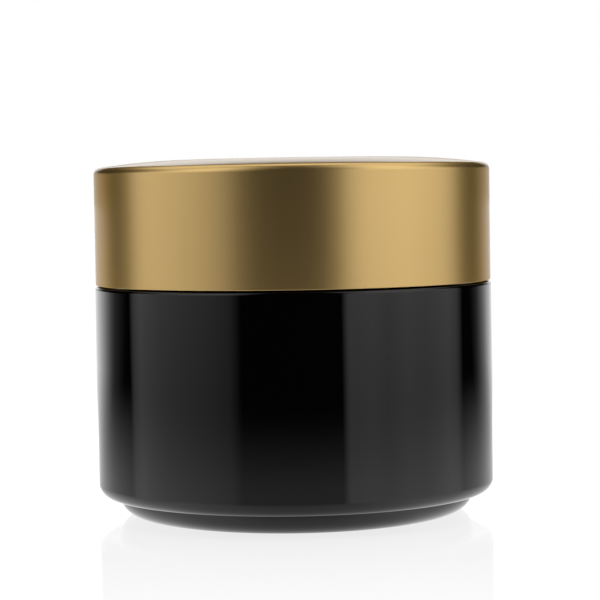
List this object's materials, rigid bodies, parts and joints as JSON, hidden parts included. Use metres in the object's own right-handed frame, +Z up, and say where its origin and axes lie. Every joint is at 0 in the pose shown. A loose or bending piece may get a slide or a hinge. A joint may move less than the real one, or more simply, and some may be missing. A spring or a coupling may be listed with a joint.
{
  "type": "cosmetic cream jar",
  "caption": "Round black glass cream jar with a stepped foot, a dished inner lid with a finger tab, and a weighted satin bronze-gold screw cap.",
  "frame": {"origin": "centre of the foot, on the table that the jar stands on", "axes": "+Z up along the jar's axis; the finger tab of the inner lid runs along X"},
  "size_m": [0.062, 0.062, 0.0553],
  "materials": {
    "black_glass": "glossy opaque black glass",
    "natural_plastic": "semi-gloss moulded, milky white",
    "white_foam": "matte closed-cell foam",
    "bare_steel": "plain stamped sheet",
    "black_plastic": "moulded, fine satin",
    "bronze_gold": "satin anodised bronze-gold"
  },
  "bodies": {
    "jar": {"glass_jar": "black_glass"},
    "inner_lid": {"sealing_disc": "natural_plastic"},
    "wad": {"foam_wad": "white_foam"},
    "weight": {"balance_weight": "bare_steel"},
    "cap": {"cap_liner": "black_plastic", "cap_shell": "bronze_gold"}
  },
  "joints": [
    {"name": "lid_lift", "type": "slide", "parent": "jar", "child": "inner_lid", "axis": [0, 0, 1], "range_m": [0, 0.03]},
    {"name": "cap_lift", "type": "slide", "parent": "inner_lid", "child": "wad", "axis": [0, 0, 1], "range_m": [0, 0.055]},
    {"name": "cap_rise", "type": "slide", "parent": "wad", "child": "weight", "axis": [0, 0, 1], "range_m": [0, 0.00463]},
    {"name": "cap_turn", "type": "hinge", "parent": "weight", "child": "cap", "pos_m": [0, 0, 0.04], "axis": [0, 0, 1], "range_deg": [0, 396]}
  ],
  "couplings": [
    {"joint": "cap_rise", "follows": "cap_turn", "m_per_rad": 0.00066845}
  ]
}
